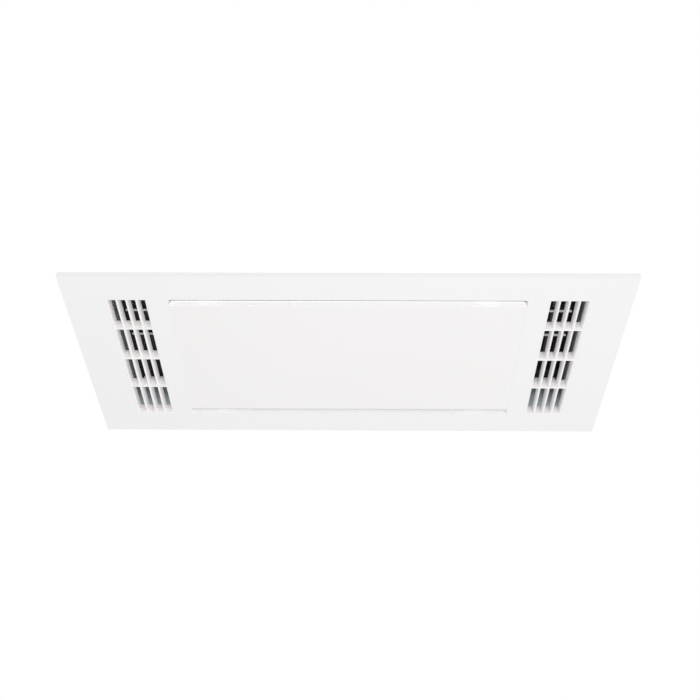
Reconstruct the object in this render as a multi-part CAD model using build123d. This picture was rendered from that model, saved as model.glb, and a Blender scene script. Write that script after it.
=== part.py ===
from build123d import *
import math
import os

# Ceiling unit with a fan heater, an extractor fan and a flush light panel.
# Millimetres. Z is up, Z = 0 is the underside of the ceiling board, X runs along the long side.
# The face seen in the room looks down (-Z). The housing stands above the board.

# Face plate
face_length = 600.0
face_depth = 260.0
face_height = 6.0
face_wall = 2.2
rim_wall = 2.0
ceiling_board = 13.0

# Housing of folded galvanised sheet, hidden behind the face plate's margin
housing_inset_x = 34.0
housing_inset_y = 21.0
housing_sheet = 0.8
motor_headroom = 12.0
flange_width = 14.0
flange_upstand = 5.0
joist_hole_spacing_x = 480.0
joist_hole_radius = 2.25
bead_width = 12.0
bead_height = 1.5
top_bead_count = 4
top_bead_pitch = 105.0
top_bead_length = 150.0
side_bead_levels = (105.0, 150.0)
side_bead_length = 380.0
corner_tab_width = 12.0
corner_tab_margin = 7.0
rivets_per_tab = 4
rivet_radius = 2.4
rivet_head = 1.0

# Egg-crate grilles in the two ends of the face plate
grille_cell_pitch = 10.5
grille_columns = 4
grille_rib = 1.6
grille_end_margin = 9.3
grille_side_margin = 12.7
cross_rib_pitch = 48.9
middle_cross_rib_y = -2.1
grille_height = 12.4
grille_edge_bevel = 0.3
grille_flange = 3.0
grille_flange_thickness = 1.2
grille_seam = 0.15

# Light panel, flush in the middle, with an air slot along each long side
grille_to_light = 22.3
light_side_margin = 12.2
air_slot = 8.7
end_seam = 0.2
slot_return_height = 6.8
slot_return_wall = 1.4
end_return_height = 11.0
diffuser_wall = 2.5
diffuser_skirt_height = 8.0
diffuser_end_slant = 1.2
tray_sheet = 0.8
tray_gap = 0.4
tray_height = 10.0
led_strip_count = 4
led_strip_end_gap = 8.4
led_strip_width = 12.0
led_strip_thickness = 1.2
leds_per_strip = 20
led_size = 3.0
led_thickness = 0.8

# Straps that hang the light panel on the face plate
strap_x = 150.0
strap_width = 18.0
strap_sheet = 1.2
strap_foot_height = 1.6
strap_gap = 0.4
strap_end_gap = 1.8
screw_boss_radius = 3.2

# Spring clips that hold the face plate up in the housing
clip_to_light = 8.0
clip_width = 12.0
clip_sheet = 0.6
clip_height = 24.0
clip_foot_length = 9.0
clip_screw_inset = 5.2
clip_bump_z = 14.0
clip_bump_half_height = 6.0
clip_bump_reach = 2.0
clip_lead_in = 0.8
clip_window_margin = 1.0
clip_wall_gap = 0.7
clip_boss_height = 1.5

# Moulded deck that carries both fans
deck_top = 50.0
deck_wall = 2.0
deck_lip = 12.0
deck_gap = 0.3
deck_end_gap = 1.5
deck_screw_from_end = 40.2

# Extractor fan
extractor_wheel_height = 68.0
extractor_lid_gap = 22.0
extractor_side_gap = 8.7
extractor_scroll_growth = 4.5
extractor_blades = 38

# Heater fan
heater_wheel_height = 58.0
heater_lid_gap = 20.0
heater_side_gap = 10.4
heater_scroll_growth = 5.4
heater_blades = 34

# Shared fan sizes
fan_to_fan_gap = 5.5
heater_to_control = 2.6
scroll_wall = 2.0
scroll_mouth_low_y = 2.5
scroll_tongue_angle = 145.0
scroll_tongue_radius = 3.0
wheel_to_scroll = 6.0
blade_depth = 9.0
blade_thickness = 1.0
blade_camber = 1.6
blade_lean = 28.0
blade_edge_inset = 0.4
blade_end_seat = 1.0
wheel_disc = 2.0
wheel_ring = 2.5
wheel_floor_gap = 8.0
hub_radius = 9.0
hub_length = 20.0
shaft_radius = 4.0
shaft_tail = 2.5
running_clearance = 0.05
motor_gap = 3.0
motor_radius = 38.0
motor_height = 44.0
motor_edge_radius = 3.0
motor_hole_gap = 3.0
motor_plate = 1.6
motor_ear_radius = 52.0
motor_ear_width = 12.0
grommet_radius = 5.0
grommet_height = 3.0
inlet_ring_wall = 2.0
inlet_ring_flange = 7.0
inlet_ring_rise = 5.0
inlet_to_blades = 4.0
mouth_gap = 0.3

# Round duct spigot with a hanging backdraft flap
spigot_radius = 49.0
spigot_wall = 2.0
spigot_length = 45.0
spigot_flange_width = 8.0
spigot_flange = 2.0
flap_pin_reach = 19.0
flap_pin_rise = 16.0
flap_pin_radius = 1.5
flap_pin_end_gap = 0.3
flap_knuckle_radius = 2.6
flap_thickness = 1.2
flap_gap = 0.7
flap_flank_gap = 0.5
seat_width = 4.0
seat_thickness = 2.0
seat_pin_gap = 6.0
seat_root = 0.5

# Heater outlet duct and its heating element
grille_to_duct = 7.9
duct_sheet = 0.8
duct_gap = 0.3
duct_bottom = 2.0
duct_above_scroll = 6.0
ledge_width = 8.0
element_z = 70.0
element_height = 14.0
element_length = 172.0
element_width = 44.0
element_bar = 4.0
fin_pitch = 4.0
fin_thickness = 0.6
fin_rows = 3
element_frame_wall = 2.0
element_frame_height = 20.0
element_frame_lip = 3.0
tab_size = (6.3, 0.8, 12.0)
tab_hole_height = 8.5
tab_hole_radius = 0.9
cutout_rise = 42.0
cutout_radius = 8.0
cutout_height = 6.0
cutout_cap_step = 2.0
cutout_ears = (0.8, 26.0, 7.0)

# Guard strips with a white edge across the air path, above each grille, and the baffle beside them
guard_bar_radius = 1.3
guard_bar_z = 17.7
guard_bar_count = 4
guard_web = 0.8
guard_web_height = 7.0
baffle_rise = 8.0
baffle_fold = 10.0

# Electrical parts on the deck, placed from the housing's inner faces
driver_size = (30.0, 50.0, 38.0)
driver_from_end = 4.0
driver_to_scroll = 2.5
driver_vents = 5
driver_vent = (18.0, 3.0, 1.0)
driver_vent_pitch = 9.0
terminal_size = (40.0, 16.0, 14.0)
terminal_ways = 5
terminal_from_end = 19.2
terminal_from_side = 14.2
terminal_collar = 4.0
terminal_cover_margin = 6.0
terminal_cover_wall = 1.5
terminal_cover_height = 32.0
control_size = (44.0, 86.0, 34.0)
control_from_duct = 6.0
control_from_side = 10.2
control_cover_wall = 1.8
control_vents = 6
control_vent_width = 3.0
control_vent_pitch = 10.0
control_vent_end = 10.0
control_board_gap = 0.5
control_board_rise = 5.0
control_board_thickness = 1.6
control_foot_radius = 2.5
control_foot_inset = 4.0
relay_size = (19.0, 15.0, 15.0)
relay_count = 3
relay_pitch = 22.0
relay_margin = (12.0, 10.0)
capacitor_radius = 13.0
capacitor_height = 52.0
capacitor_from_side = 20.2
capacitor_gap = 2.0
capacitor_tab = (6.0, 0.8, 7.0)
capacitor_tab_offset = 5.0
case_corner_radius = 3.0

# Cable inlet
gland_from_side = 22.2
gland_z = 75.0
gland_bore_radius = 5.0
gland_thread_radius = 8.0
gland_hex = 22.0
gland_hex_thickness = 6.0
gland_dome_length = 14.0
gland_dome_step = 1.5
gland_inner_length = 12.0
gland_nut_thickness = 5.0

# Swing-out ceiling clamps on the end walls
clamp_from_side = 24.0
clamp_wall_distance = 7.0
clamp_screw_radius = 2.0
clamp_screw_head_radius = 3.8
clamp_screw_head = 2.2
clamp_screw_tail = 3.0
clamp_bracket_z = 40.0
clamp_bracket_sheet = 1.2
clamp_bracket_width = 14.0
clamp_bracket_leg = 8.0
clamp_bracket_overhang = 4.5
clamp_arm_length = 25.0
clamp_arm_width = 9.0
clamp_arm_height = 14.0
clamp_arm_boss = 0.9
clamp_arm_slope = (14.0, 6.0)
clamp_bush_radius = 3.4
clamp_bush_flange_radius = 4.4
clamp_bush_flange = 1.5

# Small fasteners
small_screw_radius = 1.5
small_screw_head_radius = 2.8
small_screw_head = 1.6
low_screw_head = 1.2
recess_width = 0.7
motor_screw_length = 9.0
sheet_screw_length = 6.0

# Levels and faces worked out from the sizes above
sides = (-1, 1)
corners = ((-1, -1), (-1, 1), (1, -1), (1, 1))
face_z = -face_height
face_back_z = face_z + face_wall

housing_length = face_length - 2 * housing_inset_x
housing_depth = face_depth - 2 * housing_inset_y
wall_x = housing_length / 2
wall_y = housing_depth / 2
inner_x = wall_x - housing_sheet
inner_y = wall_y - housing_sheet
joist_hole_spacing_y = housing_depth + flange_width

grille_cell_width = grille_cell_pitch - grille_rib
grille_outer_edge = inner_x - grille_end_margin
grille_first_cell_x = grille_outer_edge - grille_columns * grille_cell_pitch
grille_inner_edge = grille_first_cell_x - grille_rib
grille_cells_length = 2 * (inner_y - grille_side_margin)
grille_half_length = grille_cells_length / 2 + grille_rib

opening_x = grille_inner_edge - grille_to_light
opening_y = inner_y - light_side_margin
panel_x = opening_x - end_seam
panel_y = opening_y - air_slot
tray_x = panel_x - diffuser_end_slant - diffuser_wall - tray_gap
tray_y = panel_y - diffuser_wall - tray_gap
tray_bottom = face_z + diffuser_wall
tray_top = tray_bottom + tray_height
led_board_z = tray_top - tray_sheet
led_strip_length = 2 * (tray_x - tray_sheet - led_strip_end_gap)
strap_z = tray_top
strap_foot_z = face_back_z + strap_foot_height
strap_inner_y = opening_y + slot_return_wall + strap_gap
strap_outer_y = inner_y - strap_end_gap
clip_x = opening_x + clip_to_light

duct_inner_x = grille_first_cell_x - grille_to_duct
deck_end_x = duct_inner_x - deck_end_gap
deck_screw_x = (-inner_x + deck_screw_from_end, -120.0, 0.0, 120.0)
extractor_scroll_height = wheel_floor_gap + extractor_wheel_height + extractor_lid_gap
extractor_top_y = inner_y - extractor_side_gap - scroll_wall
extractor_scroll_start = extractor_top_y - 7 * extractor_scroll_growth
heater_scroll_height = wheel_floor_gap + heater_wheel_height + heater_lid_gap
heater_top_y = inner_y - heater_side_gap - scroll_wall
heater_scroll_start = heater_top_y - 7 * heater_scroll_growth
extractor_back = extractor_scroll_start + 5 * extractor_scroll_growth + scroll_wall
heater_back = heater_scroll_start + 5 * heater_scroll_growth + scroll_wall
heater_front = heater_scroll_start + heater_scroll_growth + scroll_wall
control_x = duct_inner_x - control_from_duct - control_size[0]
heater_x = control_x - heater_to_control - heater_front
extractor_x = heater_x - heater_back - fan_to_fan_gap - extractor_back
duct_top = deck_top + heater_scroll_height + duct_above_scroll
motors_top_z = deck_top + wheel_floor_gap + extractor_wheel_height + motor_gap + motor_height
housing_height = motors_top_z + motor_headroom
top_inner_z = housing_height - housing_sheet

spigot_y = (scroll_mouth_low_y + extractor_top_y) / 2
spigot_z = deck_top + extractor_scroll_height / 2
spigot_inner_radius = spigot_radius - spigot_wall
spigot_flange_radius = spigot_radius + spigot_flange_width
spigot_screw_angles = (45, 135, 225, 315)
flap_pin_x = -wall_x - flap_pin_reach
flap_pin_z = spigot_z + flap_pin_rise

driver_corner = (
    -inner_x + driver_from_end,
    scroll_mouth_low_y - scroll_wall - driver_to_scroll - driver_size[1],
)
terminal_corner = (-inner_x + terminal_from_end, -inner_y + terminal_from_side)
control_corner = (control_x, inner_y - control_from_side - control_size[1])
capacitor_y = inner_y - capacitor_from_side
capacitor_x = (
    control_corner[0] - capacitor_gap - capacitor_radius,
    terminal_corner[0] + terminal_size[0] + terminal_cover_margin + capacitor_gap + capacitor_radius,
)
gland_y = -inner_y + gland_from_side
clamp_x = wall_x + clamp_wall_distance
clamp_y = wall_y - clamp_from_side


def block(x, y, z):
    """Box between two corners: each argument is a (low, high) pair in any order."""
    size = [abs(pair[1] - pair[0]) for pair in (x, y, z)]
    middle = [(pair[0] + pair[1]) / 2 for pair in (x, y, z)]
    return Pos(*middle) * Box(*size)


def plate(size_x, size_y, z):
    """Box centred on the Z axis between two levels."""
    return block((-size_x / 2, size_x / 2), (-size_y / 2, size_y / 2), z)


def upright(x, y, z, radius):
    """Cylinder along Z between two levels."""
    return Pos(x, y, (z[0] + z[1]) / 2) * Cylinder(radius, abs(z[1] - z[0]))


def lying_x(x, y, z, radius):
    """Cylinder along X between two ends."""
    middle = (x[0] + x[1]) / 2
    return Pos(middle, y, z) * Rot(0, 90, 0) * Cylinder(radius, abs(x[1] - x[0]))


def lying_y(x, y, z, radius):
    """Cylinder along Y between two ends."""
    middle = (y[0] + y[1]) / 2
    return Pos(x, middle, z) * Rot(90, 0, 0) * Cylinder(radius, abs(y[1] - y[0]))


def prism(points, place, depth):
    """Straight-sided outline extruded both ways from its plane by half its depth."""
    outline = make_face(Polyline(*points, close=True))
    return place * extrude(outline, depth / 2, both=True)


def group(shapes):
    """Separate solids kept side by side in one node."""
    return Compound([solid for shape in shapes for solid in shape.solids()])


def mirrored_x(shape):
    return mirror(shape, Plane.YZ)


def pan_screw(head_radius, head, radius, length):
    """Pan-head screw along +Z with its head below the origin and a cross recess."""
    top = upright(0, 0, (-head, 0), head_radius)
    top = fillet(top.edges().sort_by(Axis.Z)[0], head * 0.45)
    reach = (-head_radius * 0.55, head_radius * 0.55)
    across = (-recess_width / 2, recess_width / 2)
    depth = (-head, -head * 0.45)
    recess = block(reach, across, depth) + block(across, reach, depth)
    return top - recess + upright(0, 0, (0, length), radius)


def grille_rows():
    """Low and high Y of each row of cells, between the cross ribs."""
    half = grille_cells_length / 2
    rib_middles = [middle_cross_rib_y + step * cross_rib_pitch for step in (-1, 0, 1)]
    lows = [-half] + [y + grille_rib / 2 for y in rib_middles]
    highs = [y - grille_rib / 2 for y in rib_middles] + [half]
    return list(zip(lows, highs))


def grille_right():
    """Egg-crate insert with a flange that bears on the back of the face plate."""
    length = (-grille_half_length, grille_half_length)
    body = block((grille_inner_edge, grille_outer_edge), length, (face_z, face_z + grille_height))
    body += block(
        (grille_inner_edge - grille_flange, grille_outer_edge + grille_flange),
        (length[0] - grille_flange, length[1] + grille_flange),
        (face_back_z, face_back_z + grille_flange_thickness),
    )
    cutters = []
    for column in range(grille_columns):
        low_x = grille_first_cell_x + column * grille_cell_pitch
        for low_y, high_y in grille_rows():
            size_x = grille_cell_width
            size_y = high_y - low_y
            middle = Pos(low_x + size_x / 2, (low_y + high_y) / 2, face_z)
            cutters.append(
                block((low_x, low_x + size_x), (low_y, high_y), (face_z - 1, face_z + grille_height + 1))
            )
            mouth = Rectangle(size_x + 2 * grille_edge_bevel, size_y + 2 * grille_edge_bevel)
            cutters.append(middle * extrude(mouth, grille_edge_bevel, taper=45))
    return body - cutters


def face_plate():
    """Square-edged white plate with a rim, a light opening and two grille openings."""
    body = plate(face_length, face_depth, (face_z, 0))
    body -= plate(face_length - 2 * rim_wall, face_depth - 2 * rim_wall, (face_back_z, 1))
    body -= plate(2 * opening_x, 2 * opening_y, (face_z - 1, 1))
    for side in sides:
        near = side * (grille_inner_edge - grille_seam)
        far = side * (grille_outer_edge + grille_seam)
        half = grille_half_length + grille_seam
        body -= block((near, far), (-half, half), (face_z - 1, 1))
        outer_x = opening_x + slot_return_wall
        return_y = (side * opening_y, side * (opening_y + slot_return_wall))
        body += block((-outer_x, outer_x), return_y, (face_back_z, face_z + slot_return_height))
        return_x = (side * opening_x, side * outer_x)
        body += block(return_x, (-opening_y, opening_y), (face_back_z, face_z + end_return_height))
    for side_x, side_y in corners:
        body += strap_boss(side_x, side_y)
        body += clip_boss(side_x, side_y)
    return body


def strap_screw_y():
    return (strap_inner_y + strap_sheet + strap_outer_y) / 2


def strap_boss(side_x, side_y):
    """Pillar on the back of the face plate that takes one strap screw."""
    x = side_x * strap_x
    y = side_y * strap_screw_y()
    level = (face_back_z, strap_foot_z)
    return upright(x, y, level, screw_boss_radius) - upright(x, y, level, small_screw_radius)


def clip_screw_y():
    return inner_y - clip_wall_gap - clip_screw_inset


def clip_boss(side_x, side_y):
    """Pillar on the back of the face plate that takes one clip screw."""
    x = side_x * clip_x
    y = side_y * clip_screw_y()
    level = (face_back_z, face_back_z + clip_boss_height)
    return upright(x, y, level, screw_boss_radius) - upright(x, y, level, small_screw_radius)


def spring_clips():
    """Four bent leaves whose bumps snap into windows in the housing's long walls."""
    foot_z = face_back_z + clip_boss_height
    leg_y = inner_y - clip_wall_gap
    bump_y = inner_y + clip_bump_reach
    foot_end = leg_y - clip_foot_length
    bump_low = clip_bump_z - clip_bump_half_height
    bump_high = clip_bump_z + clip_bump_half_height
    tip_y = leg_y - clip_lead_in
    outside = [
        (foot_end, foot_z),
        (leg_y, foot_z),
        (leg_y, bump_low),
        (bump_y, clip_bump_z),
        (leg_y, bump_high),
        (tip_y, clip_height),
    ]
    inside = [
        (tip_y - clip_sheet, clip_height),
        (leg_y - clip_sheet, bump_high),
        (bump_y - clip_sheet * 1.3, clip_bump_z),
        (leg_y - clip_sheet, bump_low),
        (leg_y - clip_sheet, foot_z + clip_sheet),
        (foot_end, foot_z + clip_sheet),
    ]
    leaf = prism(outside + inside, Plane.YZ, clip_width)
    leaf -= upright(0, clip_screw_y(), (foot_z - 1, foot_z + clip_sheet + 1), small_screw_radius)
    leaves = []
    for side_x, side_y in corners:
        one = leaf if side_y > 0 else mirror(leaf, Plane.XZ)
        leaves.append(Pos(side_x * clip_x, 0, 0) * one)
    return group(leaves)


def face_screws():
    """Screws that fix the straps and the clips to the face plate, driven from above."""
    screws = []
    for side_x, side_y in corners:
        strap_top = strap_foot_z + strap_sheet
        clip_top = face_back_z + clip_boss_height + clip_sheet
        places = (
            (side_x * strap_x, side_y * strap_screw_y(), strap_top),
            (side_x * clip_x, side_y * clip_screw_y(), clip_top),
        )
        for x, y, z in places:
            length = z - face_back_z
            screw = pan_screw(small_screw_head_radius, low_screw_head, small_screw_radius, length)
            screws.append(Pos(x, y, z) * Rot(180, 0, 0) * screw)
    return group(screws)


def diffuser():
    """Opal lid of the light panel with a skirt that is slanted at its short ends."""
    top = face_z + diffuser_skirt_height
    outer = [
        (-panel_x, face_z),
        (panel_x, face_z),
        (panel_x - diffuser_end_slant, top),
        (-panel_x + diffuser_end_slant, top),
    ]
    inner_x_low = panel_x - diffuser_wall
    inner_x_top = inner_x_low - diffuser_end_slant
    floor = face_z + diffuser_wall
    inner = [(-inner_x_low, floor), (inner_x_low, floor), (inner_x_top, top + 1), (-inner_x_top, top + 1)]
    lid = prism(outer, Plane.XZ, 2 * panel_y)
    return lid - prism(inner, Plane.XZ, 2 * (panel_y - diffuser_wall))


def light_tray():
    """Folded steel back of the light panel, open towards the diffuser."""
    tray = plate(2 * tray_x, 2 * tray_y, (tray_bottom, tray_top))
    inside = (2 * (tray_x - tray_sheet), 2 * (tray_y - tray_sheet))
    return tray - plate(inside[0], inside[1], (tray_bottom - 1, tray_top - tray_sheet))


def led_strip_rows():
    pitch = 2 * tray_y / led_strip_count
    return [(row - (led_strip_count - 1) / 2) * pitch for row in range(led_strip_count)]


def led_strips():
    level = (led_board_z - led_strip_thickness, led_board_z)
    half = led_strip_width / 2
    reach = (-led_strip_length / 2, led_strip_length / 2)
    return group([block(reach, (y - half, y + half), level) for y in led_strip_rows()])


def led_packages():
    """Light-emitting packages soldered along each strip."""
    pitch = led_strip_length / leds_per_strip
    top = led_board_z - led_strip_thickness
    half = led_size / 2
    packages = []
    for y in led_strip_rows():
        for number in range(leds_per_strip):
            x = (number - (leds_per_strip - 1) / 2) * pitch
            packages.append(block((x - half, x + half), (y - half, y + half), (top - led_thickness, top)))
    return group(packages)


def light_straps():
    """Two joggled steel straps over the light tray, with their feet on the face plate."""
    high = strap_z + strap_sheet
    foot = strap_foot_z
    inner = strap_inner_y
    outer = strap_outer_y
    bend = inner + strap_sheet
    outline = [
        (-outer, foot),
        (-inner, foot),
        (-inner, strap_z),
        (inner, strap_z),
        (inner, foot),
        (outer, foot),
        (outer, foot + strap_sheet),
        (bend, foot + strap_sheet),
        (bend, high),
        (-bend, high),
        (-bend, foot + strap_sheet),
        (-outer, foot + strap_sheet),
    ]
    strap = prism(outline, Plane.YZ, strap_width)
    for side in sides:
        strap -= upright(0, side * strap_screw_y(), (foot - 1, foot + 2), small_screw_radius)
    return group([Pos(side * strap_x, 0, 0) * strap for side in sides])


def housing():
    """Open-bottomed sheet box that stands above the ceiling."""
    box = plate(housing_length, housing_depth, (-housing_sheet, housing_height))
    box += stiffening_beads(0) + corner_tabs()
    box -= plate(2 * inner_x, 2 * inner_y, (-housing_sheet - 1, top_inner_z))
    box -= stiffening_beads(housing_sheet)
    box -= lying_x((-wall_x - 1, -inner_x + 1), spigot_y, spigot_z, spigot_inner_radius)
    box -= lying_x((-wall_x - 1, -inner_x + 1), gland_y, gland_z, gland_thread_radius)
    for angle in spigot_screw_angles:
        y, z = spigot_screw_place(angle)
        box -= lying_x((-wall_x - 1, -inner_x + 1), y, z, small_screw_radius)
    for side_x, side_y in corners:
        box -= clip_window(side_x, side_y)
    for side in sides:
        for x in deck_screw_x:
            reach = (side * (inner_y - 1), side * (wall_y + 1))
            box -= lying_y(x, reach, deck_top + deck_lip / 2, small_screw_radius)
    return box


def ceiling_flange():
    """Angle ring welded round the housing's mouth, which bears on the ceiling board."""
    over = 2 * flange_width
    ring = plate(housing_length + over, housing_depth + over, (-housing_sheet, 0))
    over = 2 * housing_sheet
    ring += plate(housing_length + over, housing_depth + over, (-housing_sheet, flange_upstand))
    ring -= plate(housing_length, housing_depth, (-housing_sheet - 1, flange_upstand + 1))
    through = (-housing_sheet - 1, 1)
    for side_x, side_y in corners:
        hole_x = side_x * joist_hole_spacing_x / 2
        hole_y = side_y * joist_hole_spacing_y / 2
        ring -= upright(hole_x, hole_y, through, joist_hole_radius)
        ring -= upright(side_x * clamp_x, side_y * clamp_y, through, clamp_screw_radius)
    return ring


def stiffening_beads(inset):
    """Pressed beads on the top and the long walls: their outsides, or their insides where inset."""
    half_width = bead_width / 2 - inset
    half_top = top_bead_length / 2 - inset
    half_side = side_bead_length / 2 - inset
    rise = bead_height - inset
    beads = []
    for number in range(top_bead_count):
        x = (number - (top_bead_count - 1) / 2) * top_bead_pitch
        level = (top_inner_z - 1, housing_height + rise)
        beads.append(block((x - half_width, x + half_width), (-half_top, half_top), level))
    for side in sides:
        for z in side_bead_levels:
            reach = (side * (inner_y - 1), side * (wall_y + rise))
            beads.append(block((-half_side, half_side), reach, (z - half_width, z + half_width)))
    return beads


def corner_tabs():
    """Tabs folded from the end walls round onto the long walls."""
    tabs = []
    for side_x, side_y in corners:
        x = (side_x * (wall_x - corner_tab_width), side_x * wall_x)
        y = (side_y * wall_y, side_y * (wall_y + housing_sheet))
        tabs.append(block(x, y, (corner_tab_margin, housing_height - corner_tab_margin)))
    return tabs


def housing_rivets():
    """Domed rivet heads along the corner tabs."""
    head = lying_y(0, (0, rivet_head), 0, rivet_radius)
    head = fillet(head.edges().filter_by(GeomType.CIRCLE).sort_by(Axis.Y)[-1], rivet_head * 0.8)
    spacing = (housing_height - 2 * corner_tab_margin) / rivets_per_tab
    heads = []
    for side_x, side_y in corners:
        one = head if side_y > 0 else mirror(head, Plane.XZ)
        x = side_x * (wall_x - corner_tab_width / 2)
        y = side_y * (wall_y + housing_sheet)
        for number in range(rivets_per_tab):
            heads.append(Pos(x, y, corner_tab_margin + (number + 0.5) * spacing) * one)
    return group(heads)


def clip_window(side_x, side_y):
    """Hole in the long wall that takes one clip's bump."""
    half = clip_width / 2 + clip_window_margin
    x = side_x * clip_x
    half_z = clip_bump_half_height + clip_window_margin
    level = (clip_bump_z - half_z, clip_bump_z + half_z)
    return block((x - half, x + half), (side_y * (inner_y - 0.2), side_y * (wall_y + 1)), level)


def wheel_places():
    """Centre, mouth direction and sizes of each fan."""
    extractor = dict(
        x=extractor_x,
        turn=0,
        mouth=-inner_x + mouth_gap,
        wheel=extractor_scroll_start - wheel_to_scroll,
        height=extractor_wheel_height,
        scroll=extractor_scroll_height,
        start=extractor_scroll_start,
        top_y=extractor_top_y,
        growth=extractor_scroll_growth,
        blades=extractor_blades,
    )
    heater = dict(
        x=heater_x,
        turn=180,
        mouth=duct_inner_x - mouth_gap,
        wheel=heater_scroll_start - wheel_to_scroll,
        height=heater_wheel_height,
        scroll=heater_scroll_height,
        start=heater_scroll_start,
        top_y=heater_top_y,
        growth=heater_scroll_growth,
        blades=heater_blades,
    )
    return extractor, heater


def fan_deck():
    """Moulded shelf across the housing with an upstand for its screws and two fan inlets."""
    outer_y = inner_y - deck_gap
    low_x = -inner_x + deck_gap
    deck = block((low_x, deck_end_x), (-outer_y, outer_y), (deck_top - deck_wall, deck_top + deck_lip))
    deck -= block(
        (low_x + deck_wall, deck_end_x + 1),
        (-outer_y + deck_wall, outer_y - deck_wall),
        (deck_top, deck_top + deck_lip + 1),
    )
    for fan in wheel_places():
        hole = inlet_throat(fan) + inlet_ring_wall
        deck -= upright(fan["x"], 0, (deck_top - deck_wall - 1, deck_top + 1), hole)
    beside = scroll_wall + deck_gap
    mouth_y = (scroll_mouth_low_y - beside, extractor_top_y + beside)
    deck -= block((low_x - 1, low_x + deck_wall + 0.1), mouth_y, (deck_top, deck_top + deck_lip + 1))
    for side in sides:
        for x in deck_screw_x:
            hole = (side * (outer_y - deck_wall), side * (outer_y + 1))
            deck -= lying_y(x, hole, deck_top + deck_lip / 2, small_screw_radius)
    return deck


def deck_screws():
    screws = []
    screw = pan_screw(small_screw_head_radius, small_screw_head, small_screw_radius, sheet_screw_length)
    for side in sides:
        for x in deck_screw_x:
            place = Pos(x, side * wall_y, deck_top + deck_lip / 2)
            screws.append(place * Rot(90 * side, 0, 0) * screw)
    return group(screws)


def inlet_throat(fan):
    return fan["wheel"] - blade_depth - inlet_ring_wall - inlet_to_blades


def inlet_ring(fan):
    """Rounded inlet ring pushed up through the deck under one wheel."""
    throat = inlet_throat(fan)
    bottom = deck_top - deck_wall - inlet_ring_wall
    top = deck_top + inlet_ring_rise
    ring = upright(0, 0, (bottom, deck_top - deck_wall), throat + inlet_ring_wall + inlet_ring_flange)
    ring += upright(0, 0, (bottom, top), throat + inlet_ring_wall)
    ring -= upright(0, 0, (bottom - 1, top + 1), throat)
    lip = ring.edges().filter_by(GeomType.CIRCLE).sort_by(Axis.Z)
    lowest = [edge for edge in lip if abs(edge.center().Z - bottom) < 0.01]
    inner_lip = min(lowest, key=lambda edge: edge.radius)
    return Pos(fan["x"], 0, 0) * fillet(inner_lip, inlet_ring_wall * 0.8)


def scroll_space(fan):
    """Plan of the air space in one scroll, its mouth towards -X: four quarter arcs and a channel."""
    half_step = fan["growth"]
    radius = fan["start"]
    reach = abs(fan["mouth"] - fan["x"])
    centres = [
        (-half_step, -half_step),
        (half_step, -half_step),
        (half_step, half_step),
        (-half_step, half_step),
    ]
    first = CenterArc(centres[0], radius, scroll_tongue_angle, 180 - scroll_tongue_angle)
    arcs = [first]
    for number, start in ((1, 180), (2, 270), (3, 0)):
        arcs.append(CenterArc(centres[number], radius + 2 * half_step * number, start, 90))
    top = arcs[3] @ 1
    mouth_top = (-reach, top.Y)
    mouth_low = (-reach, scroll_mouth_low_y)
    lines = [Line(top, mouth_top), Line(mouth_top, mouth_low), Line(mouth_low, first @ 0)]
    space = make_face(arcs + lines)
    tongue = space.vertices().sort_by_distance(first @ 0)[0]
    return fillet(tongue, scroll_tongue_radius)


def scroll(fan):
    """Moulded scroll: a wall on the deck and a lid that carries the motor."""
    space = scroll_space(fan)
    outside = offset(space, scroll_wall, kind=Kind.INTERSECTION)
    reach = abs(fan["mouth"] - fan["x"])
    beyond = block((-reach - 3 * scroll_wall, -reach), (-inner_y, inner_y), (0, fan["scroll"]))
    shell = extrude(outside, fan["scroll"]) - extrude(space, fan["scroll"] - scroll_wall) - beyond
    lid_hole = motor_radius + motor_hole_gap
    lid = (fan["scroll"] - scroll_wall - 1, fan["scroll"] + 1)
    shell = Rot(0, 0, fan["turn"]) * shell
    shell -= upright(0, 0, lid, lid_hole)
    for angle in motor_ear_angles():
        x, y = on_circle(motor_ear_radius, angle)
        shell -= upright(x, y, lid, small_screw_radius)
    return Pos(fan["x"], 0, deck_top) * shell


def motor_ear_angles():
    return (30, 150, 270)


def on_circle(radius, angle):
    return (radius * math.cos(math.radians(angle)), radius * math.sin(math.radians(angle)))


def wheel_top(fan):
    return deck_top + wheel_floor_gap + fan["height"]


def fan_wheel(fan):
    """Forward-curved blower wheel: blades between a ring and a hub disc."""
    outer = fan["wheel"]
    inner = outer - blade_depth
    bottom = deck_top + wheel_floor_gap
    top = wheel_top(fan)
    foot = (inner + blade_edge_inset, 0)
    tip = on_circle(outer - blade_edge_inset, -blade_lean * blade_depth / outer)
    bulge = ((foot[0] + tip[0]) / 2, (foot[1] + tip[1]) / 2 + blade_camber)
    blade = trace(ThreePointArc(foot, bulge, tip), blade_thickness)
    blades = Sketch() + [place * blade for place in PolarLocations(0, fan["blades"])]
    wheel = Pos(0, 0, bottom + blade_end_seat) * extrude(blades, fan["height"] - 2 * blade_end_seat)
    wheel += upright(0, 0, (top - wheel_disc, top), outer)
    wheel += upright(0, 0, (bottom, bottom + wheel_ring), outer) - upright(
        0, 0, (bottom, bottom + wheel_ring), inner
    )
    wheel += upright(0, 0, (top - hub_length, top), hub_radius)
    wheel -= upright(0, 0, (top - hub_length - 1, top + 1), shaft_radius)
    return Pos(fan["x"], 0, 0) * wheel


def motor_bottom(fan):
    return wheel_top(fan) + motor_gap


def motor_top(fan):
    return motor_bottom(fan) + motor_height


def fan_shaft(fan):
    """Steel shaft fixed in the wheel's hub, running in the motor."""
    level = (wheel_top(fan) - hub_length, motor_top(fan) + shaft_tail)
    return upright(fan["x"], 0, level, shaft_radius)


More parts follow.
